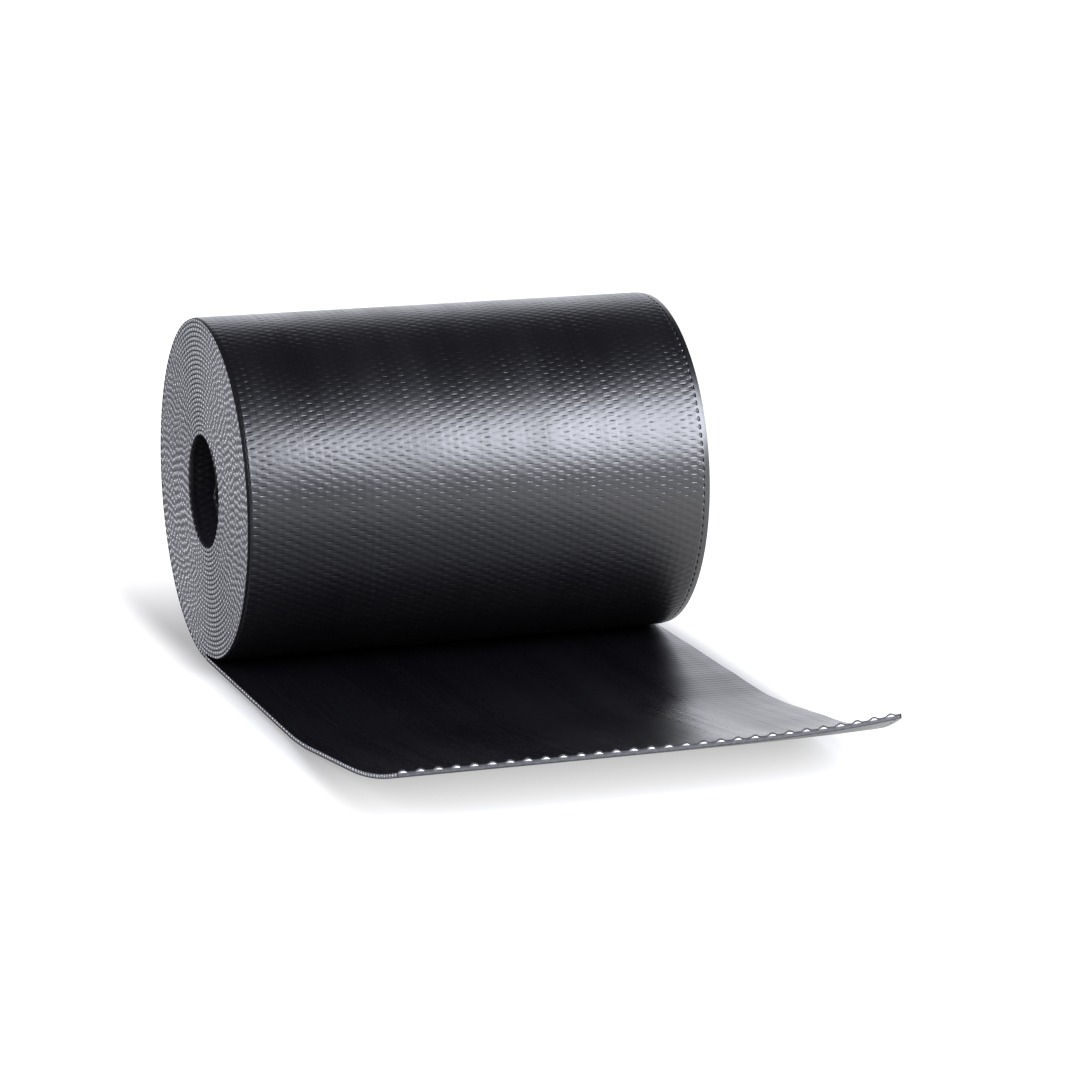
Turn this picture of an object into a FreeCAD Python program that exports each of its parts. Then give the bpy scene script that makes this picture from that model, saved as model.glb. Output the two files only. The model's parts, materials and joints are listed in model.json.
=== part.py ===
"""Roll of lead-free flashing: one long sheet, wound on itself, with its outer end laid out on the ground.

Frame: +X along the bore, +Y to the back, +Z up, origin at the middle of the bore.
The sheet runs off the bottom of the roll towards -Y, lies flat and then curls up at its cut end.
"""
import FreeCAD, Part
import math
import os

import Sketcher

Vector = FreeCAD.Vector
doc = FreeCAD.newDocument("flashing")


# ---- sizes, in millimetres and degrees ------------------------------------------------------------------
sizes = doc.addObject("Spreadsheet::Sheet", "sizes")
SIZES = [
    ("sheet_width", "300", "width of the sheet, and so the length of the roll"),
    ("sheet_thickness", "3", "film, mesh and film together; also the pitch of the turns"),
    ("turn_count", "25", "whole turns between the bore and the outside"),
    ("bore_diameter", "70", "hole left by the winding mandrel"),
    ("seam_width", "0.5", "gap between two turns where it opens at the roll's ends"),
    ("seam_depth", "0.7", "depth of that gap"),
    ("tail_length", "415", "loose end, measured along its underside from the lowest line of the roll"),
    ("flat_length", "190", "part of the loose end that lies flat on the ground"),
    ("lift_radius", "400", "underside radius where the sheet lifts off the ground"),
    ("lift_angle", "7", "slope, in degrees, of the straight rise after it"),
    ("rise_length", "81", "length of that straight rise"),
    ("left_curl_radius", "473", "underside radius of the curl along the left edge"),
    ("right_curl_radius", "311", "underside radius of the curl along the right edge"),
    ("outer_radius", "=bore_diameter / 2 + turn_count * sheet_thickness", "outside of the last turn"),
]
for row, (alias, value, note) in enumerate(SIZES, start=1):
    sizes.set(f"A{row}", alias)
    sizes.set(f"B{row}", value)
    sizes.set(f"C{row}", note)
    sizes.setAlias(f"B{row}", alias)
doc.recompute()


# ---- small sketching helpers ----------------------------------------------------------------------------
def origin_plane(body, role):
    """One of the body's own three origin planes, such as XY_Plane."""
    return next(feature for feature in body.Origin.OriginFeatures if feature.Role == role)


def new_sketch(body, name, role, offset=""):
    """A sketch on one of the body's origin planes, moved along the plane's normal by an expression."""
    sketch = body.newObject("Sketcher::SketchObject", name)
    sketch.AttachmentSupport = [(origin_plane(body, role), "")]
    sketch.MapMode = "FlatFace"
    if offset:
        sketch.setExpression("AttachmentOffset.Base.z", offset)
    return sketch


def bind(sketch, kind, *where, name, size):
    """Adds one driving dimension and ties it to the sheet by an expression."""
    value = sketch.evalExpression(size)
    if kind == "Angle":
        value = math.radians(value)
    placed = sketch.addConstraint(Sketcher.Constraint(kind, *where, value))
    sketch.renameConstraint(placed, name)
    sketch.setExpression(f"Constraints.{name}", size)


def chain(sketch, edges):
    """Joins the end of each edge to the start of the next one, all the way round."""
    for edge, following in zip(edges, edges[1:] + edges[:1]):
        sketch.addConstraint(Sketcher.Constraint("Coincident", edge, 2, following, 1))


# ---- the wound part: one turned solid with its bore -----------------------------------------------------
roll = doc.addObject("PartDesign::Body", "flashing_roll")
roll.Label = "flashing_roll"


def draw_roll_section():
    """The wall of the roll in the XZ plane: a rectangle above the axis, from the bore to the last turn."""
    sketch = new_sketch(roll, "roll_section", "XZ_Plane")
    end = sizes.sheet_width / 2
    bore = sizes.bore_diameter / 2
    corners = [
        Vector(-end, bore, 0),
        Vector(end, bore, 0),
        Vector(end, sizes.outer_radius, 0),
        Vector(-end, sizes.outer_radius, 0),
    ]
    edges = [
        sketch.addGeometry(Part.LineSegment(start, stop))
        for start, stop in zip(corners, corners[1:] + corners[:1])
    ]
    chain(sketch, edges)
    inner, right, outer, left = edges
    for edge in (inner, outer):
        sketch.addConstraint(Sketcher.Constraint("Horizontal", edge))
    for edge in (right, left):
        sketch.addConstraint(Sketcher.Constraint("Vertical", edge))
    bind(sketch, "DistanceX", inner, 1, inner, 2, name="width", size="sizes.sheet_width")
    bind(sketch, "DistanceX", -1, 1, inner, 2, name="half_width", size="sizes.sheet_width / 2")
    bind(sketch, "DistanceY", -1, 1, inner, 1, name="bore_wall", size="sizes.bore_diameter / 2")
    bind(sketch, "DistanceY", -1, 1, outer, 1, name="last_turn", size="sizes.outer_radius")
    return sketch


roll_section = draw_roll_section()
turned = roll.newObject("PartDesign::Revolution", "turned_roll")
turned.Profile = roll_section
turned.ReferenceAxis = (roll_section, ["H_Axis"])
turned.Angle = 360
roll_section.Visibility = False
doc.recompute()


# ---- the turns show on both ends as rings: a small V where one turn lies on the next --------------------
def draw_seams():
    """One V notch in the left end for each place where two turns meet."""
    sketch = new_sketch(roll, "turn_seams", "XZ_Plane")
    end = -sizes.sheet_width / 2
    for seam in range(1, round(sizes.turn_count)):
        middle = sizes.bore_diameter / 2 + seam * sizes.sheet_thickness
        low = Vector(end, middle - sizes.seam_width / 2, 0)
        high = Vector(end, middle + sizes.seam_width / 2, 0)
        root = Vector(end + sizes.seam_depth, middle, 0)
        mouth = sketch.addGeometry(Part.LineSegment(low, high))
        upper = sketch.addGeometry(Part.LineSegment(high, root))
        lower = sketch.addGeometry(Part.LineSegment(root, low))
        chain(sketch, [mouth, upper, lower])
        sketch.addConstraint(Sketcher.Constraint("Vertical", mouth))
        radius = f"sizes.bore_diameter / 2 + {seam} * sizes.sheet_thickness"
        bind(sketch, "DistanceX", mouth, 1, -1, 1, name=f"end_{seam}", size="sizes.sheet_width / 2")
        bind(sketch, "DistanceY", mouth, 1, mouth, 2, name=f"mouth_{seam}", size="sizes.seam_width")
        bind(sketch, "DistanceY", mouth, 1, upper, 2, name=f"half_mouth_{seam}", size="sizes.seam_width / 2")
        bind(sketch, "DistanceX", mouth, 1, upper, 2, name=f"depth_{seam}", size="sizes.seam_depth")
        bind(sketch, "DistanceY", -1, 1, upper, 2, name=f"radius_{seam}", size=radius)
    return sketch


turn_seams = draw_seams()
left_seams = roll.newObject("PartDesign::Groove", "left_seams")
left_seams.Profile = turn_seams
left_seams.ReferenceAxis = (turn_seams, ["H_Axis"])
left_seams.Angle = 360
turn_seams.Visibility = False
doc.recompute()

both_ends = roll.newObject("PartDesign::Mirrored", "seams_on_both_ends")
both_ends.Originals = [left_seams]
both_ends.MirrorPlane = (origin_plane(roll, "YZ_Plane"), [""])
roll.Tip = both_ends
doc.recompute()


# ---- the loose end: flat on the ground, then curling up, a little more along its right edge -------------
def draw_flat_run():
    """The flat stretch in the YZ plane: a strip from the lowest line of the roll to where it lifts."""
    sketch = new_sketch(roll, "flat_section", "YZ_Plane")
    ground = -sizes.outer_radius
    inside = ground + sizes.sheet_thickness
    corners = [
        Vector(-sizes.flat_length, ground, 0),
        Vector(0, ground, 0),
        Vector(0, inside, 0),
        Vector(-sizes.flat_length, inside, 0),
    ]
    edges = [
        sketch.addGeometry(Part.LineSegment(start, stop))
        for start, stop in zip(corners, corners[1:] + corners[:1])
    ]
    chain(sketch, edges)
    under, root, top, start_of_curl = edges
    for edge in (under, top):
        sketch.addConstraint(Sketcher.Constraint("Horizontal", edge))
    for edge in (root, start_of_curl):
        sketch.addConstraint(Sketcher.Constraint("Vertical", edge))
    sketch.addConstraint(Sketcher.Constraint("PointOnObject", root, 1, -2))
    bind(sketch, "DistanceY", root, 1, -1, 1, name="ground", size="sizes.outer_radius")
    bind(sketch, "DistanceY", root, 1, root, 2, name="thickness", size="sizes.sheet_thickness")
    bind(sketch, "DistanceX", under, 1, under, 2, name="flat", size="sizes.flat_length")
    return sketch


flat_section = draw_flat_run()
flat_run = roll.newObject("PartDesign::Pad", "flat_run")
flat_run.Profile = flat_section
flat_run.setExpression("Length", "sizes.sheet_width")
flat_run.Midplane = True
flat_section.Visibility = False
doc.recompute()


def draw_curl(name, side, radius_name):
    """The sheet's section along one side edge where it leaves the ground.

    It lifts in a round arc, rises straight for a while and then curls up in a second arc to the square-cut
    end. The top runs one sheet thickness above the underside all the way.
    """
    sketch = new_sketch(roll, name, "YZ_Plane", offset=f"{side} * sizes.sheet_width / 2")
    curl_radius = getattr(sizes, radius_name)
    ground = -sizes.outer_radius
    start = -sizes.flat_length
    lift = math.radians(sizes.lift_angle)
    curled = sizes.tail_length - sizes.flat_length - sizes.lift_radius * lift - sizes.rise_length
    slope = lift + curled / curl_radius
    up = Vector(0, 0, 1)
    down = 1.5 * math.pi
    lift_outward = Vector(-math.sin(lift), -math.cos(lift), 0)
    end_outward = Vector(-math.sin(slope), -math.cos(slope), 0)
    along_rise = Vector(-math.cos(lift), math.sin(lift), 0) * sizes.rise_length
    lift_centre = Vector(start, ground + sizes.lift_radius, 0)
    curl_centre = lift_centre + lift_outward * (sizes.lift_radius - curl_radius) + along_rise

    def offset_edges(depth):
        """Arc, line and arc at one depth above the underside."""
        lift_arc = Part.Circle(lift_centre, up, sizes.lift_radius - depth)
        curl_arc = Part.Circle(curl_centre, up, curl_radius - depth)
        rise_start = lift_centre + lift_outward * (sizes.lift_radius - depth)
        return (
            sketch.addGeometry(Part.ArcOfCircle(lift_arc, down - lift, down)),
            sketch.addGeometry(Part.LineSegment(rise_start, rise_start + along_rise)),
            sketch.addGeometry(Part.ArcOfCircle(curl_arc, down - slope, down - lift)),
        )

    under_lift, under_rise, under_curl = offset_edges(0)
    top_lift, top_rise, top_curl = offset_edges(sizes.sheet_thickness)
    root = sketch.addGeometry(
        Part.LineSegment(Vector(start, ground, 0), Vector(start, ground + sizes.sheet_thickness, 0))
    )
    cut = sketch.addGeometry(
        Part.LineSegment(
            curl_centre + end_outward * (curl_radius - sizes.sheet_thickness),
            curl_centre + end_outward * curl_radius,
        )
    )

    join = sketch.addConstraint
    join(Sketcher.Constraint("Coincident", under_lift, 2, root, 1))
    join(Sketcher.Constraint("Coincident", root, 2, top_lift, 2))
    join(Sketcher.Constraint("Coincident", top_curl, 1, cut, 1))
    join(Sketcher.Constraint("Coincident", cut, 2, under_curl, 1))
    for lift_edge, rise_edge, curl_edge in (
        (under_lift, under_rise, under_curl),
        (top_lift, top_rise, top_curl),
    ):
        join(Sketcher.Constraint("Tangent", lift_edge, 1, rise_edge, 1))
        join(Sketcher.Constraint("Tangent", rise_edge, 2, curl_edge, 2))
    join(Sketcher.Constraint("Coincident", top_lift, 3, under_lift, 3))
    join(Sketcher.Constraint("Coincident", top_curl, 3, under_curl, 3))
    join(Sketcher.Constraint("Parallel", top_rise, under_rise))
    join(Sketcher.Constraint("Vertical", root))
    join(Sketcher.Constraint("PointOnObject", under_lift, 3, root))
    join(Sketcher.Constraint("PointOnObject", under_curl, 3, cut))
    curled_length = (
        "(sizes.tail_length - sizes.flat_length - sizes.rise_length"
        " - sizes.lift_radius * sizes.lift_angle * pi / 180)"
    )
    end_slope = f"sizes.lift_angle + {curled_length} / sizes.{radius_name} * 180 / pi"
    bind(sketch, "DistanceY", root, 1, -1, 1, name="ground", size="sizes.outer_radius")
    bind(sketch, "DistanceY", root, 1, root, 2, name="thickness", size="sizes.sheet_thickness")
    bind(sketch, "DistanceX", root, 1, -1, 1, name="flat", size="sizes.flat_length")
    bind(sketch, "Radius", under_lift, name="lift_radius", size="sizes.lift_radius")
    bind(sketch, "Angle", under_rise, name="lift_angle", size="180 - sizes.lift_angle")
    bind(sketch, "Distance", under_rise, name="rise", size="sizes.rise_length")
    bind(sketch, "Radius", under_curl, name="curl_radius", size=f"sizes.{radius_name}")
    bind(sketch, "Angle", cut, name="end_slope", size=f"-90 - ({end_slope})")
    sketch.Visibility = False
    return sketch


left_curl = draw_curl("left_curl", -1, "left_curl_radius")
right_curl = draw_curl("right_curl", 1, "right_curl_radius")
doc.recompute()

curled_end = roll.newObject("PartDesign::AdditiveLoft", "curled_end")
curled_end.Profile = left_curl
curled_end.Sections = [right_curl]
curled_end.Ruled = True
roll.Tip = curled_end
doc.recompute()


# ---- checks, then the STEP file -------------------------------------------------------------------------
SUB_PARTS = [roll]
for feature in doc.Objects:
    if "Invalid" in feature.State or "Error" in feature.State:
        raise RuntimeError(f"{feature.Name} failed: {feature.State}")
for sub_part in SUB_PARTS:
    if sub_part.Shape.isNull() or not sub_part.Shape.isValid() or len(sub_part.Shape.Solids) != 1:
        raise RuntimeError(f"{sub_part.Label} is not one valid solid")

os.makedirs("parts", exist_ok=True)
for sub_part in SUB_PARTS:
    sub_part.Shape.exportStep(os.path.join("parts", f"{sub_part.Label}.step"))
    box = sub_part.Shape.BoundBox
    print(f"{sub_part.Label}: {sub_part.Shape.Volume / 1000:.1f} cm3")
    print(f"  x {box.XMin:.2f}..{box.XMax:.2f}")
    print(f"  y {box.YMin:.2f}..{box.YMax:.2f}")
    print(f"  z {box.ZMin:.2f}..{box.ZMax:.2f}")
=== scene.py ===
"""Roll of lead-free flashing: one long sheet of expanded aluminium mesh between two black polymer films,
wound on itself round an open bore, with its outer end unrolled onto the ground in front of it."""
import json
import math

import bmesh
import bpy
import numpy as np
from mathutils import Euler, Matrix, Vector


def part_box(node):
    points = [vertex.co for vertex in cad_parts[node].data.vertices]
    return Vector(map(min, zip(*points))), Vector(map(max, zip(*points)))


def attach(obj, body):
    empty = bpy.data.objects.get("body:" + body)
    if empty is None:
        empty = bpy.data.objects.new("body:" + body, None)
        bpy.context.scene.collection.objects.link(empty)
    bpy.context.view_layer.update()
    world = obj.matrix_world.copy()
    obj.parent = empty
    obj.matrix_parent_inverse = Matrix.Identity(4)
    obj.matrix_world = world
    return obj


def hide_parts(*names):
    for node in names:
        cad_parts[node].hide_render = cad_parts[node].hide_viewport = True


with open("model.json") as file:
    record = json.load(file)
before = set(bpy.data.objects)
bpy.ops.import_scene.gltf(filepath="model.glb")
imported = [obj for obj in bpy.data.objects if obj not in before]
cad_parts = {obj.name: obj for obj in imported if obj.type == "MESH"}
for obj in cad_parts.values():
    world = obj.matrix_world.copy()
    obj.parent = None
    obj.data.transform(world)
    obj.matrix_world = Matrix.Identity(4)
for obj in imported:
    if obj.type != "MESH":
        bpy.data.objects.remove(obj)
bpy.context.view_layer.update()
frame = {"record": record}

# ---- The last turn ---------------------------------------------------------------------------------------
# The real piece is one laminate, 3 mm thick and 300 mm wide: expanded aluminium mesh pressed between black
# polymer films and wound on a mandrel. Outside, one whole turn of it shows, from the lowest line round the
# back and over the top to the nip on the loose end, its film sunk a little into each diamond of the mesh.
low, high = (np.array(corner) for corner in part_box("flashing_roll"))
bore = next(mount for mount in frame["record"]["mounts"] if mount["name"] == "bore")
bore_radius = bore["dims"]["r_mm"] / 1000
outer_radius = -low[2]
half_width = high[0]
thickness = 0.003
wound_pitch = 0.00295
turn_left_off = 0.21
wound_turns = round((outer_radius - bore_radius) / thickness) - turn_left_off
arch_height = 0.0092
arch_share = 0.11
mesh_long = 0.01034
mesh_short = 0.0053
edge_margin = 0.0033
mesh_middle = -0.0012


def wound_place(angle, depth):
    """Where the wound sheet is, as y and z, for an angle wound inwards from the lowest line of the roll and
    a depth below the sheet's outer face. The outer face loses one pitch of radius in each whole turn.
    Over its last stretch the inner end stands off the wall of the bore in a shallow arch."""
    turns = angle / (2 * math.pi)
    last = np.clip((turns - (wound_turns - arch_share)) / arch_share, 0, 1)
    arch = arch_height * np.sin(math.pi * last ** 1.2) ** 2
    radius = outer_radius - wound_pitch * turns - depth - arch
    return radius * np.sin(angle), -radius * np.cos(angle)


def wound_length(angle):
    """Length of sheet from the lowest line of the roll inwards to that angle: a spiral's arc length."""
    return outer_radius * angle - wound_pitch * angle ** 2 / (4 * math.pi)


def mesh_relief(x, length):
    """Height of the film over the mesh, from 0 on a strand to -1 in the middle of a diamond opening. It is
    the product of two cosines, so the openings lie in rows, each row shifted by half a diamond. Towards the
    side edges, where the mesh was cut, it is nearly twice as deep."""
    fade_width = 0.002
    deep_width = 0.016
    wave = np.cos(2 * math.pi * x / mesh_long) * np.cos(2 * math.pi * length / mesh_short)
    from_rim = half_width - edge_margin - np.abs(x - mesh_middle)
    inside = np.clip(from_rim / fade_width, 0, 1)
    near_edge = np.clip(1 - from_rim / deep_width, 0, 1)
    opening = np.clip((wave + 0.15) / 1.15, 0, 1) ** 1.3
    return -inside * (1 + 0.9 * near_edge) * opening


def edge_dents(x, length):
    """Depth, 0 to 1, of the row of short dents just inside each side edge, one for each short way. They are
    deeper along the right edge."""
    dent_reach = 0.00045
    off_line = np.abs(np.abs(x - mesh_middle) - (half_width - edge_margin)) / dent_reach
    along = np.clip(np.cos(2 * math.pi * length / mesh_short) + 0.35, 0, 1)
    side_share = np.where(x > 0, 1.0, 0.4)
    return np.clip(1 - off_line, 0, 1) * along * side_share


def columns():
    """Places across the sheet: six for each diamond, and closer ones along the two side edges, where the
    film rounds over and the dents lie."""
    left = np.array([0, 0.0004, 0.0010, 0.0016, 0.0021, 0.0026, 0.0034]) - half_width
    right = half_width - np.array([0.0057, 0.0050, 0.0045, 0.0040, 0.0028, 0.0016, 0.0007, 0])
    step = mesh_long / 6
    inner = np.arange(math.ceil(left[-1] / step + 0.2), math.floor(right[0] / step - 0.2) + 1) * step
    return np.concatenate([left, inner, right])


def rounding(x, drop):
    """How far the film falls towards a side edge, where there is no mesh under it: nothing at the last
    row of dents, and the whole drop at the edge, with a power of the distance between."""
    from_edge = half_width - np.abs(x)
    past_dents = 0.0004
    margin = edge_margin - np.sign(x) * mesh_middle + past_dents
    return drop * np.clip(1 - from_edge / margin, 0, 1) ** 1.3


def lay_patches(name, patches, material):
    """One mesh from several grids of points. Each patch is a rows x columns x 3 array with a rows x columns
    x 2 array of surface coordinates, in metres across and along the sheet. Its faces join neighbours."""
    points, surface, quads, base = [], [], [], 0
    for grid, uv in patches:
        rows, cols = grid.shape[:2]
        index = base + np.arange(rows * cols).reshape(rows, cols)
        corners = [index[:-1, :-1], index[1:, :-1], index[1:, 1:], index[:-1, 1:]]
        quads.append(np.stack(corners, -1).reshape(-1, 4))
        points.append(grid.reshape(-1, 3))
        surface.append(uv.reshape(-1, 2))
        base += rows * cols
    points, surface, quads = np.concatenate(points), np.concatenate(surface), np.concatenate(quads)
    mesh = bpy.data.meshes.new(name)
    mesh.vertices.add(len(points))
    mesh.vertices.foreach_set("co", points.astype(np.float32).ravel())
    mesh.loops.add(quads.size)
    mesh.loops.foreach_set("vertex_index", quads.astype(np.int32).ravel())
    mesh.polygons.add(len(quads))
    mesh.polygons.foreach_set("loop_start", np.arange(0, quads.size, 4, dtype=np.int32))
    mesh.update(calc_edges=True)
    sheet_layer = mesh.uv_layers.new(name="sheet")
    sheet_layer.data.foreach_set("uv", surface[quads.ravel()].astype(np.float32).ravel())
    mesh.polygons.foreach_set("use_smooth", np.ones(len(quads), dtype=bool))
    mesh.validate()
    mesh.materials.append(material)
    piece = bpy.data.objects.new(name, mesh)
    bpy.context.scene.collection.objects.link(piece)
    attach(piece, "root")
    return piece


def start_material(name):
    """A new node material: its tree, its Principled shader, and a function that adds a wired node."""
    material = bpy.data.materials.new(name)
    material.use_nodes = True
    tree = material.node_tree
    shader = tree.nodes["Principled BSDF"]

    def add(kind, *inputs, **settings):
        made = tree.nodes.new(kind)
        for key, value in settings.items():
            setattr(made, key, value)
        for place, value in enumerate(inputs):
            if isinstance(value, bpy.types.NodeSocket):
                tree.links.new(value, made.inputs[place])
            elif value is not None:
                made.inputs[place].default_value = value
        return made

    return material, tree, shader, add


def sheet_coordinates(add):
    """The two surface coordinates, in metres across and along the sheet, as separate sockets."""
    split = add("ShaderNodeSeparateXYZ", add("ShaderNodeUVMap", uv_map="sheet").outputs["UV"])
    return split.outputs["X"], split.outputs["Y"]


def stretched_noise(add, across, along, across_scale, along_scale, detail=3.0):
    """Noise with its own scale across and along the sheet, for lines and ribs."""
    place = add(
        "ShaderNodeCombineXYZ",
        add("ShaderNodeMath", across, across_scale, operation="MULTIPLY").outputs[0],
        add("ShaderNodeMath", along, along_scale, operation="MULTIPLY").outputs[0],
    )
    noise = add("ShaderNodeTexNoise")
    noise.inputs["Scale"].default_value = 1.0
    noise.inputs["Detail"].default_value = detail
    noise.id_data.links.new(place.outputs[0], noise.inputs["Vector"])
    return noise.outputs["Fac"]


def film(name, pits, ribs, lines, roughness, gloss, tone):
    """Satin black film, pressed onto the mesh between rollers that left fine lines along it. A pit is the
    product of the mesh's two cosines where that is above zero, made narrow along the sheet by a power of the
    second one. Where the product is below zero, over a bond of the mesh, the film stands up a little. Near
    each side edge a row of short dents takes over, deeper along the right one."""
    roller_lines = (900.0, 5.0)
    pit_patches = (130.0, 30.0)
    fine_grain = (2600.0, 2600.0, 2.0)
    broad_bands = (26.0, 1.6)
    bond_height = 0.35
    dent_over_pit = -2.4
    grain_height = 0.05
    material, tree, shader, add = start_material(name)
    across, along = sheet_coordinates(add)

    def math_node(operation, first, second=None, third=None):
        return add("ShaderNodeMath", first, second, third, operation=operation).outputs[0]

    wave_across = math_node("COSINE", math_node("MULTIPLY", across, 2 * math.pi / mesh_long))
    wave_along = math_node("COSINE", math_node("MULTIPLY", along, 2 * math.pi / mesh_short))
    both = math_node("MULTIPLY", wave_across, wave_along)
    narrow = math_node("POWER", math_node("ABSOLUTE", wave_along), 7.0)
    bond = math_node("MINIMUM", both, 0.0)
    wave = math_node("MULTIPLY_ADD", bond, bond_height, math_node("MAXIMUM", both, 0.0))
    from_middle = math_node("ABSOLUTE", math_node("SUBTRACT", across, mesh_middle))
    on_mesh = add("ShaderNodeMapRange", from_middle, half_width - 0.0052, half_width - 0.0040, 1.0, 0.0)
    line = stretched_noise(add, across, along, *roller_lines)
    patch = stretched_noise(add, across, along, *pit_patches)
    grain = stretched_noise(add, across, along, *fine_grain)
    band = stretched_noise(add, across, along, *broad_bands)
    near_edge = add("ShaderNodeMapRange", from_middle, half_width - 0.020, half_width - 0.005, 0.0, 0.5)
    depth = add("ShaderNodeMapRange", patch, 0.33, 0.67, 0.25, 1.55).outputs[0]
    depth = math_node("ADD", depth, near_edge.outputs[0])
    depth = math_node("MULTIPLY", on_mesh.outputs[0], depth)
    pit = math_node("MULTIPLY", math_node("MULTIPLY", wave, narrow), depth)
    off_row = math_node("ABSOLUTE", math_node("SUBTRACT", from_middle, half_width - edge_margin))
    row = add("ShaderNodeMapRange", off_row, 0.0002, 0.0009, 1.0, 0.0).outputs[0]
    along_row = add("ShaderNodeMapRange", wave_along, -0.3, 0.6, 0.0, 1.0).outputs[0]
    by_side = add("ShaderNodeMapRange", across, -0.05, 0.05, 0.3, 1.0).outputs[0]
    dent = math_node("MULTIPLY", math_node("MULTIPLY", row, along_row), by_side)

    height = math_node("MULTIPLY", pit, -pits)
    height = math_node("MULTIPLY_ADD", dent, dent_over_pit * pits, height)
    height = math_node("MULTIPLY_ADD", wave_along, ribs, height)
    height = math_node("MULTIPLY_ADD", line, lines, height)
    height = math_node("MULTIPLY_ADD", grain, grain_height, height)
    bump = add("ShaderNodeBump")
    bump.inputs["Strength"].default_value = 1.0
    bump.inputs["Distance"].default_value = 0.00022
    tree.links.new(height, bump.inputs["Height"])
    tree.links.new(bump.outputs[0], shader.inputs["Normal"])

    uneven = math_node("MULTIPLY_ADD", line, 0.4, math_node("MULTIPLY", band, 0.8))
    rough = add("ShaderNodeMapRange", uneven, 0.40, 0.80, roughness - 0.05, roughness + 0.07)
    tree.links.new(rough.outputs[0], shader.inputs["Roughness"])
    shader.inputs["Specular IOR Level"].default_value = gloss
    shade = add("ShaderNodeMix", data_type="RGBA")
    shade.inputs["A"].default_value = (0.0018 * tone, 0.0018 * tone, 0.0026 * tone, 1)
    shade.inputs["B"].default_value = (0.0045 * tone, 0.0045 * tone, 0.0060 * tone, 1)
    mottle = math_node("MULTIPLY_ADD", grain, 0.5, math_node("MULTIPLY", band, 0.5))
    tree.links.new(mottle, shade.inputs["Factor"])
    tree.links.new(shade.outputs["Result"], shader.inputs["Base Color"])
    return material


outer_film = film("outer_film", pits=0.45, ribs=0.0, lines=0.10, roughness=0.31, gloss=0.80, tone=1.0)
margin_film = film("margin_film", pits=0.20, ribs=0.0, lines=0.10, roughness=0.55, gloss=0.2, tone=1.0)
relief_depth = 0.00012
dent_depth = 0.00050
outer_drop = 0.0008
dull_width = 0.0017
steps = 4 * round(2 * math.pi * outer_radius / mesh_short)
angle = np.linspace(0, 2 * math.pi, steps + 1)[:, None]
x = columns()[None, :]
length = wound_length(angle)
depth = rounding(x, outer_drop) - relief_depth * mesh_relief(x, length) + dent_depth * edge_dents(x, length)
y, z = wound_place(angle, depth)
grid = np.stack([np.broadcast_to(x, y.shape), y, z], -1)
surface = np.stack(np.broadcast_arrays(x, length), -1)
last_turn = lay_patches("last_turn", [(grid, surface)], outer_film)
last_turn.data.materials.append(margin_film)
on_margin = np.tile(x[0, 1:] < dull_width - half_width, steps)
last_turn.data.polygons.foreach_set("material_index", on_margin.astype(np.int32))
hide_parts("flashing_roll")

# ---- The inside of the bore ------------------------------------------------------------------------------
# The inner face of the first turn lines the bore, left open by the mandrel. The sheet's inner end is only
# tucked in, and stands off the wall in a low arch.
# Painted light: the bore's film takes five times the base colour of the other films, standing in for light
# that hardly reaches into the bore.
bore_film_painted_light = film("bore_film_painted_light", pits=0.50, ribs=0.10, lines=0.10, roughness=0.36, gloss=0.8, tone=5.0)
first_turn_angles = np.linspace(2 * math.pi * (wound_turns - 1.0), 2 * math.pi * wound_turns, 221)[:, None]
end_angles = np.linspace(2 * math.pi * (wound_turns - 0.2), 2 * math.pi * wound_turns, 41)[:, None]
length = wound_length(first_turn_angles)
bore_relief = 0.00035
bore_drop = 0.0004
depth = thickness - rounding(x, bore_drop) + bore_relief * mesh_relief(x, length)
y, z = wound_place(first_turn_angles, depth)
inner_grid = np.stack([np.broadcast_to(x, y.shape), y, z], -1)[:, ::-1]
inner_surface = np.stack(np.broadcast_arrays(x, length), -1)[:, ::-1]
y, z = wound_place(end_angles, rounding(x, bore_drop) + 0 * end_angles)
back_grid = np.stack([np.broadcast_to(x, y.shape), y, z], -1)
back_surface = np.stack(np.broadcast_arrays(x, wound_length(end_angles)), -1)
fallen = rounding(x, bore_drop)
lip_depth = np.linspace(0, 1, 5)[:, None] * (thickness - 2 * fallen) + fallen
y, z = wound_place(np.full_like(lip_depth, end_angles[-1, 0]), lip_depth)
lip_grid = np.stack([np.broadcast_to(x, y.shape), y, z], -1)
lip_surface = np.stack(np.broadcast_arrays(x, wound_length(end_angles[-1, 0]) + lip_depth), -1)
bore_patches = [(inner_grid, inner_surface), (back_grid, back_surface), (lip_grid, lip_surface)]
lay_patches("bore_lining", bore_patches, bore_film_painted_light)

# ---- The loose end ---------------------------------------------------------------------------------------
# The same sheet, unrolled. Its underside is the outer film with the mesh's relief, its top is the smoother
# inner film. At the square cut each bond of the mesh lifts the film in a low hump.
inner_film = film("inner_film", pits=0.04, ribs=0.05, lines=0.02, roughness=0.27, gloss=0.42, tone=1.0)
tail_length = 0.415
flat_length = 0.190
lift_radius = 0.400
lift_angle = math.radians(7)
rise_length = 0.081
left_curl_radius = 0.473
right_curl_radius = 0.311
first_bond = 0.0034 - half_width
hump_length = 0.0065
bond_count = 29
squeeze_depth = 0.0002
hump_height = 0.0012
loose_drop = 0.0001


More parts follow.
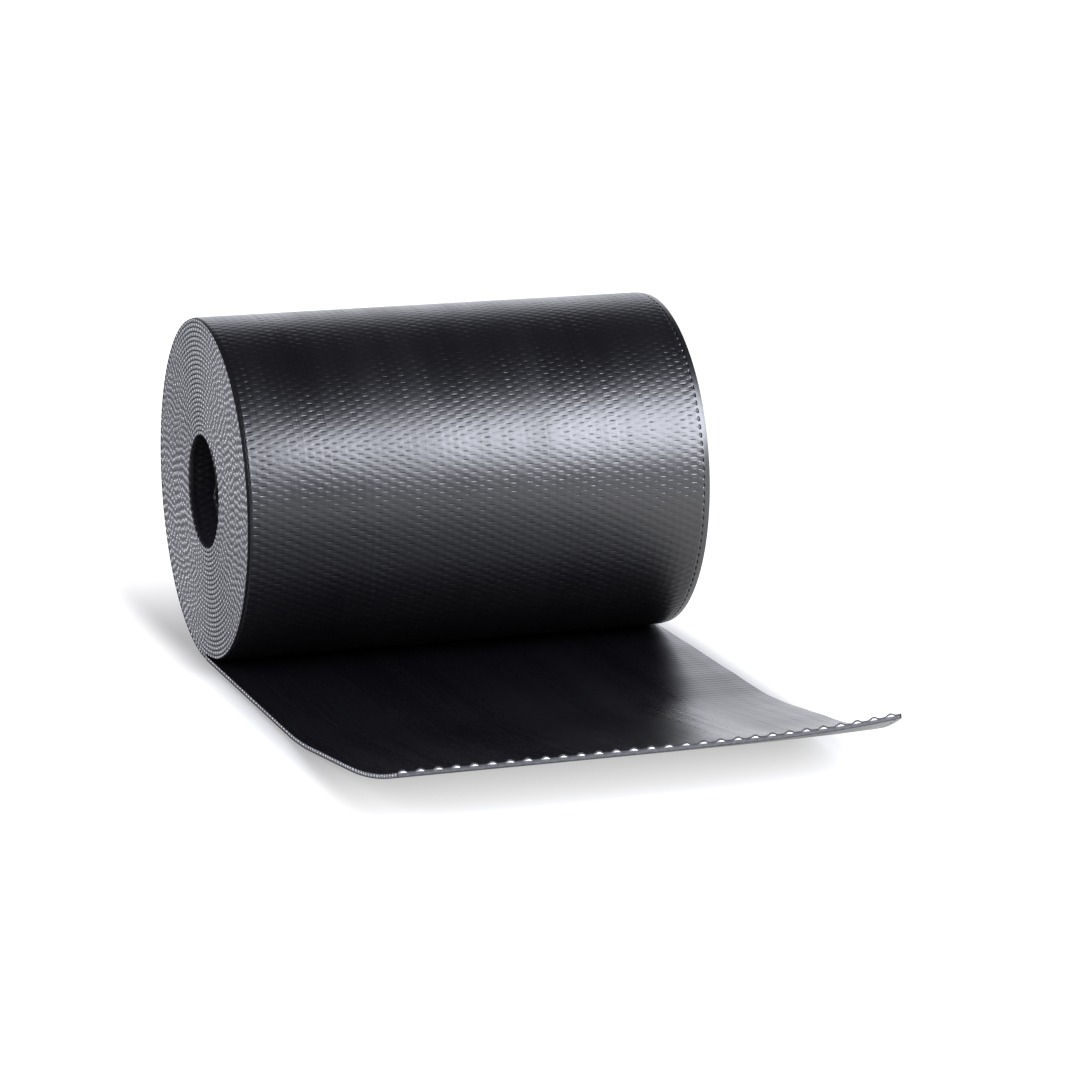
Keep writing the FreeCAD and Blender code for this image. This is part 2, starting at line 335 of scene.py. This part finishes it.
def edge_path(length, depth, curl_radius):
    """One side edge of the loose end, as y and z: flat, a round lift, a straight rise and a second arc."""
    lift = np.clip((length - flat_length) / lift_radius, 0, lift_angle)
    rise = np.clip(length - flat_length - lift_radius * lift_angle, 0, rise_length)
    curled = np.maximum(length - flat_length - lift_radius * lift_angle - rise_length, 0)
    slope = lift + curled / curl_radius
    curl_y = curl_radius * (np.sin(slope) - np.sin(lift))
    curl_z = curl_radius * (np.cos(lift) - np.cos(slope))
    y = -np.minimum(length, flat_length) - lift_radius * np.sin(lift) - rise * np.cos(lift_angle) - curl_y
    z = lift_radius * (1 - np.cos(lift)) + rise * np.sin(lift_angle) + curl_z
    return y + depth * np.sin(slope), z + depth * np.cos(slope) - outer_radius


def loose_place(x, length, depth):
    """Where the loose end is, as x, y and z, for a length from the lowest line of the roll and a depth above
    its underside. It blends from the left edge's path to the right one's by a sixth power, so most of the
    difference is near the right corner, which curls up a little more in its last few centimetres. A slow
    wave along the right edge lifts it by under half a millimetre."""
    share = (x + half_width) / (2 * half_width)
    blend = 0.2 * share + 0.8 * share ** 6
    left_y, left_z = edge_path(length, depth, left_curl_radius)
    right_y, right_z = edge_path(length, depth, right_curl_radius)
    ripple_height = 0.00022
    ripple = 1 + 0.5 * np.sin(length * 93) + 0.3 * np.sin(length * 171 + 1)
    lift = ripple_height * ripple * np.clip(length / 0.1, 0, 1) * share ** 6
    corner_lift = 0.0019
    corner_length = 0.036
    corner = np.clip(1 - (tail_length - length) / corner_length, 0, 1) ** 2.5
    corner = corner_lift * corner * share ** 7
    y = left_y + (right_y - left_y) * blend
    z = left_z + (right_z - left_z) * blend + lift + corner
    return np.broadcast_to(x, y.shape), y, z


def squeeze(x):
    """How far the sheet's top lies below its true thickness at the cut: a little between two bonds, and less
    than nothing over a bond, where the knife left a low hump."""
    over_bond = np.clip((np.cos(2 * math.pi * (x - first_bond) / mesh_long) + 0.3) / 1.3, 0, 1)
    return squeeze_depth * (1 - over_bond) - hump_height * over_bond


x = columns()[None, :]
length = np.linspace(0, tail_length, 4 * round(tail_length / mesh_short) + 1)[:, None]
under_depth = rounding(x, loose_drop) - relief_depth * mesh_relief(x, -length)
under_depth = under_depth + dent_depth * edge_dents(x, -length)
under_grid = np.stack(loose_place(x, length, under_depth), -1)[:, ::-1]
under_surface = np.stack(np.broadcast_arrays(x, -length), -1)[:, ::-1]
near_cut = tail_length - np.array([hump_length, 0.0050, 0.0036, 0.0024, 0.0014, 0.0007, 0.0002])
length = np.concatenate([np.arange(0, near_cut[0] - 0.0005, mesh_short / 5), near_cut])[:, None]
x = np.linspace(-half_width, half_width, 8 * round(2 * half_width / mesh_long) + 1)[None, :]
to_cut = 1 - np.clip((tail_length - length) / hump_length, 0, 1)
top_relief = 0.00004 * np.cos(2 * math.pi * length / mesh_short) + 0.00005 * mesh_relief(x, length)
top_depth = thickness - rounding(x, loose_drop) + top_relief * (1 - to_cut) - squeeze(x) * to_cut ** 2
top_grid = np.stack(loose_place(x, length, top_depth), -1)
top_surface = np.stack(np.broadcast_arrays(x, -length), -1)
lay_patches("loose_end_top", [(top_grid, top_surface)], inner_film)
lay_patches("loose_end_underside", [(under_grid, under_surface)], outer_film)

# ---- The side edges --------------------------------------------------------------------------------------
# Each side edge of the sheet is one long ribbon, from the cut end in to the bore: grey where the films are
# trimmed through, dark where one turn lies on the next. Wound up, the two ribbons are the roll's two ends.
def sheet_place(x, length, depth):
    """Where the sheet is, as x, y, z, for any length from the lowest line of the roll: the loose end for a
    negative length, and the wound part for a positive one."""
    angle_table = np.linspace(0, 2 * math.pi * wound_turns, 9000)
    angle = np.interp(length, wound_length(angle_table), angle_table)
    wound_y, wound_z = wound_place(angle, depth)
    _, loose_y, loose_z = loose_place(x, np.maximum(-length, 0), depth)
    loose = length < 0
    y = np.where(loose, loose_y, wound_y)
    return np.broadcast_to(x, y.shape), y, np.where(loose, loose_z, wound_z)


def strand_wander(length):
    """How far the strands' ends stray along the edge: a quick and a slow wave, so that the strands of one
    turn keep no steady step with those of the next."""
    return 0.0008 * np.sin(170 * length) + 0.0022 * np.sin(11 * length)


def trimmed_polymer(name, tones, dip):
    """Grey trimmed edge of the sheet, darker towards both films and midway between two strands of the mesh.
    Each tone is a share of the way through the sheet and a grey."""
    material, tree, shader, add = start_material(name)
    depth, along = sheet_coordinates(add)
    fine = add("ShaderNodeTexNoise")
    fine.inputs["Scale"].default_value = 1400.0
    tree.links.new(add("ShaderNodeTexCoord").outputs["Object"], fine.inputs["Vector"])
    ramp = add("ShaderNodeValToRGB", depth)
    ramp.color_ramp.interpolation = "EASE"
    ramp.color_ramp.elements.remove(ramp.color_ramp.elements[1])
    for place, grey in tones:
        stop = ramp.color_ramp.elements.new(place) if place > 0 else ramp.color_ramp.elements[0]
        stop.color = (grey, grey, grey * 1.06, 1)
    turn = add("ShaderNodeMath", along, 2 * math.pi / mesh_short, operation="MULTIPLY").outputs[0]
    strand = add("ShaderNodeMath", turn, operation="COSINE")
    strand = add("ShaderNodeMapRange", strand.outputs[0], -0.8, 0.8, dip, 1.2)
    speck = add("ShaderNodeMapRange", fine.outputs["Fac"], 0.3, 0.7, 0.72, 1.2)
    speck = add("ShaderNodeMath", speck.outputs[0], strand.outputs[0], operation="MULTIPLY")
    shade = add("ShaderNodeVectorMath", ramp.outputs["Color"], operation="SCALE")
    tree.links.new(speck.outputs[0], shade.inputs["Scale"])
    tree.links.new(shade.outputs[0], shader.inputs["Base Color"])
    shader.inputs["Roughness"].default_value = 0.62
    bump = add("ShaderNodeBump")
    bump.inputs["Distance"].default_value = 0.00015
    tree.links.new(fine.outputs["Fac"], bump.inputs["Height"])
    tree.links.new(bump.outputs[0], shader.inputs["Normal"])
    return material


edge_tones = ((0, 0.08), (0.07, 0.15), (0.18, 0.24), (0.50, 0.31), (0.82, 0.24), (0.93, 0.15), (1, 0.08))
polymer_edge = trimmed_polymer("trimmed_polymer", edge_tones, dip=0.45)
last_length = wound_length(2 * math.pi * wound_turns)
ribbon_length = np.arange(-tail_length, last_length, mesh_short / 3)
ribbon_length = np.append(ribbon_length, last_length)[:, None]
ribbon_share = np.array([0.0, 0.07, 0.20, 0.50, 0.80, 0.93, 1.0])[None, :]
ribbon_sink = np.array([0.0008, 0.00052, 0.00040, 0.00038, 0.00040, 0.00052, 0.0008])[None, :]
strand_phase = 2 * math.pi * (ribbon_length - strand_wander(ribbon_length)) / mesh_short
pinch_depth = 0.00022
pinch = np.where(ribbon_length < 0, 0.0, pinch_depth * (1 - np.cos(strand_phase)))
on_last_turn = ribbon_length < wound_length(2 * math.pi)
wound_drop = np.where(on_last_turn, outer_drop, 0.0)
outer_side = np.where(ribbon_length < 0, loose_drop, wound_drop) + pinch
inner_side = np.where(ribbon_length < 0, loose_drop, 0.0) + pinch
depth = outer_side + ribbon_share * (thickness - outer_side - inner_side)
for side, name in ((-1, "left_edge"), (1, "right_edge")):
    place_x = side * (half_width - ribbon_sink) + 0 * depth
    grid = np.stack(sheet_place(place_x, ribbon_length, depth), -1)
    along = ribbon_length - strand_wander(ribbon_length)
    surface = np.stack(np.broadcast_arrays(ribbon_share, along), -1)
    grid, surface = (grid, surface) if side < 0 else (grid[:, ::-1], surface[:, ::-1])
    lay_patches(name, [(grid, surface)], polymer_edge)

# ---- The cut strands -------------------------------------------------------------------------------------
# Trimming the sheet bares the end of one aluminium strand in each short way of the mesh along both side
# edges. The slitting knife smears each one into a bright dot, midway between the two films.
def cut_aluminium():
    """Bare aluminium, smeared by the knife: bright metal with fine scratches."""
    material, tree, shader, add = start_material("cut_aluminium")
    fine = add("ShaderNodeTexNoise")
    fine.inputs["Scale"].default_value = 2200.0
    tree.links.new(add("ShaderNodeTexCoord").outputs["Object"], fine.inputs["Vector"])
    shade = add("ShaderNodeValToRGB", fine.outputs["Fac"])
    shade.color_ramp.elements[0].position = 0.3
    shade.color_ramp.elements[0].color = (0.42, 0.43, 0.45, 1)
    shade.color_ramp.elements[1].position = 0.7
    shade.color_ramp.elements[1].color = (0.78, 0.78, 0.80, 1)
    tree.links.new(shade.outputs["Color"], shader.inputs["Base Color"])
    rough = add("ShaderNodeMapRange", fine.outputs["Fac"], 0.3, 0.7, 0.28, 0.5)
    tree.links.new(rough.outputs[0], shader.inputs["Roughness"])
    shader.inputs["Metallic"].default_value = 0.6
    return material


aluminium = cut_aluminium()
random = np.random.default_rng(7)


def strand_ends(name, side):
    """A low dome on each strand end: rings of eight points about its centre, drawn in towards the top, as
    one array for all the domes. Sizes and places differ a little from one to the next, and those of the
    loose end, which nothing has rubbed, are larger."""
    bare_end = 0.028
    dome_size = 0.00052
    first = -mesh_short * int(tail_length / mesh_short)
    along = np.arange(first, last_length - bare_end, mesh_short)
    along = along + strand_wander(along)
    count = len(along)
    size = dome_size * random.uniform(0.75, 1.15, count)[:, None, None]
    loose_share = 1.3
    size = size * np.where(along < 0, loose_share, 1.0)[:, None, None]
    slant = random.uniform(1.2, 1.9, count)[:, None, None]
    ring_radius = np.array([1.0, 0.72, 0.0])[None, :, None]
    ring_height = np.array([-0.00050, -0.00010, 0.0])[None, :, None]
    spoke = np.linspace(0, 2 * math.pi, 9)[None, None, :] * -side
    place_along = along[:, None, None] + size * slant * ring_radius * np.cos(spoke)
    place_depth = 0.50 * thickness + random.normal(0, 0.00010, count)[:, None, None]
    place_depth = place_depth + size * ring_radius * np.sin(spoke)
    place_x = side * (half_width + ring_height) + 0 * place_along
    spots = np.stack(sheet_place(place_x, place_along, place_depth), -1)
    return lay_domes(name, spots)


def lay_domes(name, spots):
    """Many small domes as one mesh: spots is domes x rings x spokes x 3, the last spoke on the first one."""
    count, rings, spokes = spots.shape[:3]
    index = np.arange(count * rings * spokes).reshape(count, rings, spokes)
    corners = [index[:, :-1, :-1], index[:, :-1, 1:], index[:, 1:, 1:], index[:, 1:, :-1]]
    quads = np.stack(corners, -1).reshape(-1, 4)
    mesh = bpy.data.meshes.new(name)
    mesh.from_pydata(spots.reshape(-1, 3).tolist(), [], quads.tolist())
    welded = bmesh.new()
    welded.from_mesh(mesh)
    bmesh.ops.remove_doubles(welded, verts=welded.verts, dist=0.000002)
    bmesh.ops.dissolve_degenerate(welded, dist=0.000001, edges=welded.edges)
    welded.to_mesh(mesh)
    welded.free()
    mesh.polygons.foreach_set("use_smooth", np.ones(len(mesh.polygons), dtype=bool))
    mesh.materials.append(aluminium)
    piece = bpy.data.objects.new(name, mesh)
    bpy.context.scene.collection.objects.link(piece)
    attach(piece, "root")
    return piece


strand_ends("left_strand_ends", -1)
strand_ends("right_strand_ends", 1)

# ---- The square cut --------------------------------------------------------------------------------------
# The knife went straight across: a grey face between the two films, and a bright dash where it cut through
# each bond of the mesh. The polymer shrank back a little, so the metal stands half a millimetre proud.
cut_x = np.linspace(-half_width + 0.0009, half_width - 0.0009, bond_count * 12 + 1)[:, None]
face_share = np.array([0.0, 0.06, 0.16, 0.3, 0.6, 0.85, 1.0])[None, :]
face_back = np.array([0.0002, 0.00042, 0.0005, 0.0005, 0.0005, 0.0004, 0.0002])[None, :]
face_depth = loose_drop + face_share * (thickness - 2 * loose_drop - squeeze(cut_x))
full_depth = face_share * (thickness - squeeze(cut_x))
face_depth = np.where(half_width - np.abs(cut_x) > 0.004, full_depth, face_depth)
face_length = tail_length - face_back + 0 * cut_x
grid = np.stack(loose_place(cut_x + 0 * face_share, face_length, face_depth), -1)
surface = np.stack(np.broadcast_arrays(face_share, cut_x), -1)
cut_tones = ((0, 0.012), (0.10, 0.03), (0.35, 0.075), (0.60, 0.055), (0.90, 0.05), (1, 0.02))
cut_polymer = trimmed_polymer("cut_polymer", cut_tones, dip=1.0)
lay_patches("cut_end", [(grid, surface)], cut_polymer)
bond_half_length = 0.0028

bond_x = first_bond + np.arange(bond_count) * mesh_long
bond_size = random.uniform(0.90, 1.08, len(bond_x))[:, None, None]
ring_radius = np.array([1.0, 0.82, 0.42, 0.0])[None, :, None]
ring_back = np.array([0.0007, 0.0002, 0.00005, 0.0])[None, :, None]
spoke = np.linspace(0, 2 * math.pi, 17)[None, None, :]
reach = ring_radius * np.cos(spoke) * bond_size
rise = ring_radius * np.sin(spoke) * (1 - 0.3 * reach ** 2)
place_x = bond_x[:, None, None] + bond_half_length * reach
half_height = np.where(rise > 0, 0.00080, 0.00060)
place_depth = 0.0021 + 0.00045 * (1 - reach ** 2) + half_height * rise
place_length = tail_length - ring_back + 0 * place_x
lay_domes("cut_bonds", np.stack(loose_place(place_x, place_length, place_depth), -1))

# ---- The ground, the light and the view ------------------------------------------------------------------
# A white floor with a painted shadow, its glow dimmed to grey close round the sheet, a broad soft lamp in
# front on the right, a fill on the left for the roll's end, and a low wall of light behind and on the right
# that fades to dark overhead.
floor_mesh = bpy.data.meshes.new("floor")
floor_half = 30.0
floor_z = -outer_radius
floor_mesh.from_pydata(
    [(-floor_half, -floor_half, floor_z), (floor_half, -floor_half, floor_z),
     (floor_half, floor_half, floor_z), (-floor_half, floor_half, floor_z)], [], [(0, 1, 2, 3)])
floor_material, floor_tree, floor_shader, floor_add = start_material("white_floor")
floor_shader.inputs["Base Color"].default_value = (0.25, 0.25, 0.25, 1)
floor_shader.inputs["Roughness"].default_value = 0.9
floor_shader.inputs["Emission Color"].default_value = (1, 1, 1, 1)
rays = floor_add("ShaderNodeLightPath")
ground = floor_add("ShaderNodeTexCoord").outputs["Object"]
to_side = floor_add("ShaderNodeSeparateXYZ", ground).outputs["X"]
# Painted reflection: glossy rays alone see the floor glow, from 0.20 on its left to 1.5 on its right, for
# the films to reflect.
mirrored = floor_add("ShaderNodeMapRange", to_side, -0.05, 0.30, 0.20, 1.5)
mirror_ray = rays.outputs["Is Glossy Ray"]
mirrored = floor_add("ShaderNodeMath", mirrored.outputs[0], mirror_ray, operation="MULTIPLY")
seen = floor_add("ShaderNodeMath", rays.outputs["Is Camera Ray"], mirrored.outputs[0], operation="MAXIMUM")
seen = floor_add("ShaderNodeMath", seen.outputs[0], rays.outputs["Is Transmission Ray"], operation="MAXIMUM")
# Painted shadow: in a box round the sheet's flat part and the roll's foot the floor's glow drops to 0.28,
# and it fades back to full over 32 mm to the sides and 270 mm to the front and back.
sheet_middle = (0.0, -0.075, -outer_radius)
sheet_half_size = (0.148, 0.115, 0.0)
per_fade_width = (1 / 0.032, 1 / 0.27, 0.0)
beside = floor_add("ShaderNodeVectorMath", ground, sheet_middle, operation="SUBTRACT")
beside = floor_add("ShaderNodeVectorMath", beside.outputs[0], operation="ABSOLUTE")
beside = floor_add("ShaderNodeVectorMath", beside.outputs[0], sheet_half_size, operation="SUBTRACT")
beside = floor_add("ShaderNodeVectorMath", beside.outputs[0], (0, 0, 0), operation="MAXIMUM")
beside = floor_add("ShaderNodeVectorMath", beside.outputs[0], per_fade_width, operation="MULTIPLY")
away = floor_add("ShaderNodeVectorMath", beside.outputs[0], operation="LENGTH")
painted_shadow_fade = floor_add("ShaderNodeMapRange", away.outputs["Value"], 0.0, 1.0, 0.28, 1.0)
painted_shadow_fade.interpolation_type = "SMOOTHSTEP"
glow = floor_add("ShaderNodeMath", seen.outputs[0], painted_shadow_fade.outputs[0], operation="MULTIPLY")
floor_tree.links.new(glow.outputs[0], floor_shader.inputs["Emission Strength"])
floor_mesh.materials.append(floor_material)
floor = bpy.data.objects.new("floor", floor_mesh)
bpy.context.scene.collection.objects.link(floor)

world = bpy.data.worlds.new("studio")
bpy.context.scene.world = world
world.use_nodes = True
sky = world.node_tree
background = sky.nodes["Background"]
direction = sky.nodes.new("ShaderNodeTexCoord")
split = sky.nodes.new("ShaderNodeSeparateXYZ")
fade = sky.nodes.new("ShaderNodeMapRange")
fade.interpolation_type = "SMOOTHSTEP"
for socket, value in zip(fade.inputs[1:5], (0.30, 0.66, 1.0, 0.03)):
    socket.default_value = value
sky.links.new(direction.outputs["Generated"], split.inputs[0])
sky.links.new(split.outputs["Z"], fade.inputs[0])
to_right = sky.nodes.new("ShaderNodeMapRange")
for socket, value in zip(to_right.inputs[1:5], (0.30, 0.60, 0.12, 1.5)):
    socket.default_value = value
sky.links.new(split.outputs["X"], to_right.inputs[0])
to_back = sky.nodes.new("ShaderNodeMapRange")
for socket, value in zip(to_back.inputs[1:5], (-0.10, 0.50, 0.0, 1.8)):
    socket.default_value = value
sky.links.new(split.outputs["Y"], to_back.inputs[0])
side = sky.nodes.new("ShaderNodeMath")
side.operation = "MAXIMUM"
sky.links.new(to_right.outputs[0], side.inputs[0])
sky.links.new(to_back.outputs[0], side.inputs[1])
strength = sky.nodes.new("ShaderNodeMath")
strength.operation = "MULTIPLY"
sky.links.new(fade.outputs[0], strength.inputs[0])
sky.links.new(side.outputs[0], strength.inputs[1])
sky.links.new(strength.outputs[0], background.inputs["Strength"])
background.inputs["Color"].default_value = (0.90, 0.92, 1.0, 1)


def soft_lamp(name, azimuth, elevation, distance, width, height, power, lean, colour):
    """A rectangular lamp that faces the roll from a compass direction, 0 in front and 90 on the right. It
    leans sideways by an angle in degrees, its right side up."""
    lamp = bpy.data.lights.new(name, "AREA")
    lamp.shape = "RECTANGLE"
    lamp.size = width
    lamp.size_y = height
    lamp.energy = power
    lamp.color = colour
    turn, rise = math.radians(azimuth), math.radians(elevation)
    facing = Euler((math.pi / 2 - rise, 0, turn)).to_matrix() @ Matrix.Rotation(math.radians(lean), 3, "Z")
    holder = bpy.data.objects.new(name, lamp)
    holder.location = (
        distance * math.sin(turn) * math.cos(rise),
        -distance * math.cos(turn) * math.cos(rise),
        distance * math.sin(rise),
    )
    holder.rotation_euler = facing.to_euler()
    bpy.context.scene.collection.objects.link(holder)


soft_lamp("front_lamp", 36, 30, 2.2, 1.5, 1.2, 88, 20, (0.87, 0.89, 1.0))
soft_lamp("left_lamp", -88, 30, 2.2, 1.4, 1.4, 35, 0, (0.94, 0.94, 1.0))

view = bpy.data.cameras.new("view")
view.sensor_width = 36.0
view.lens = 146.1
holder = bpy.data.objects.new("view", view)
azimuth, elevation, distance = math.radians(-18.9), math.radians(12.71), 2.78
target = np.array([0.0638, -0.0160, -0.0397])
back = np.array([
    math.sin(azimuth) * math.cos(elevation), -math.cos(azimuth) * math.cos(elevation), math.sin(elevation)])
holder.location = target + distance * back
holder.rotation_euler = (math.pi / 2 - elevation, 0, azimuth)
bpy.context.scene.collection.objects.link(holder)
bpy.context.scene.camera = holder
bpy.context.scene.view_settings.view_transform = "Standard"
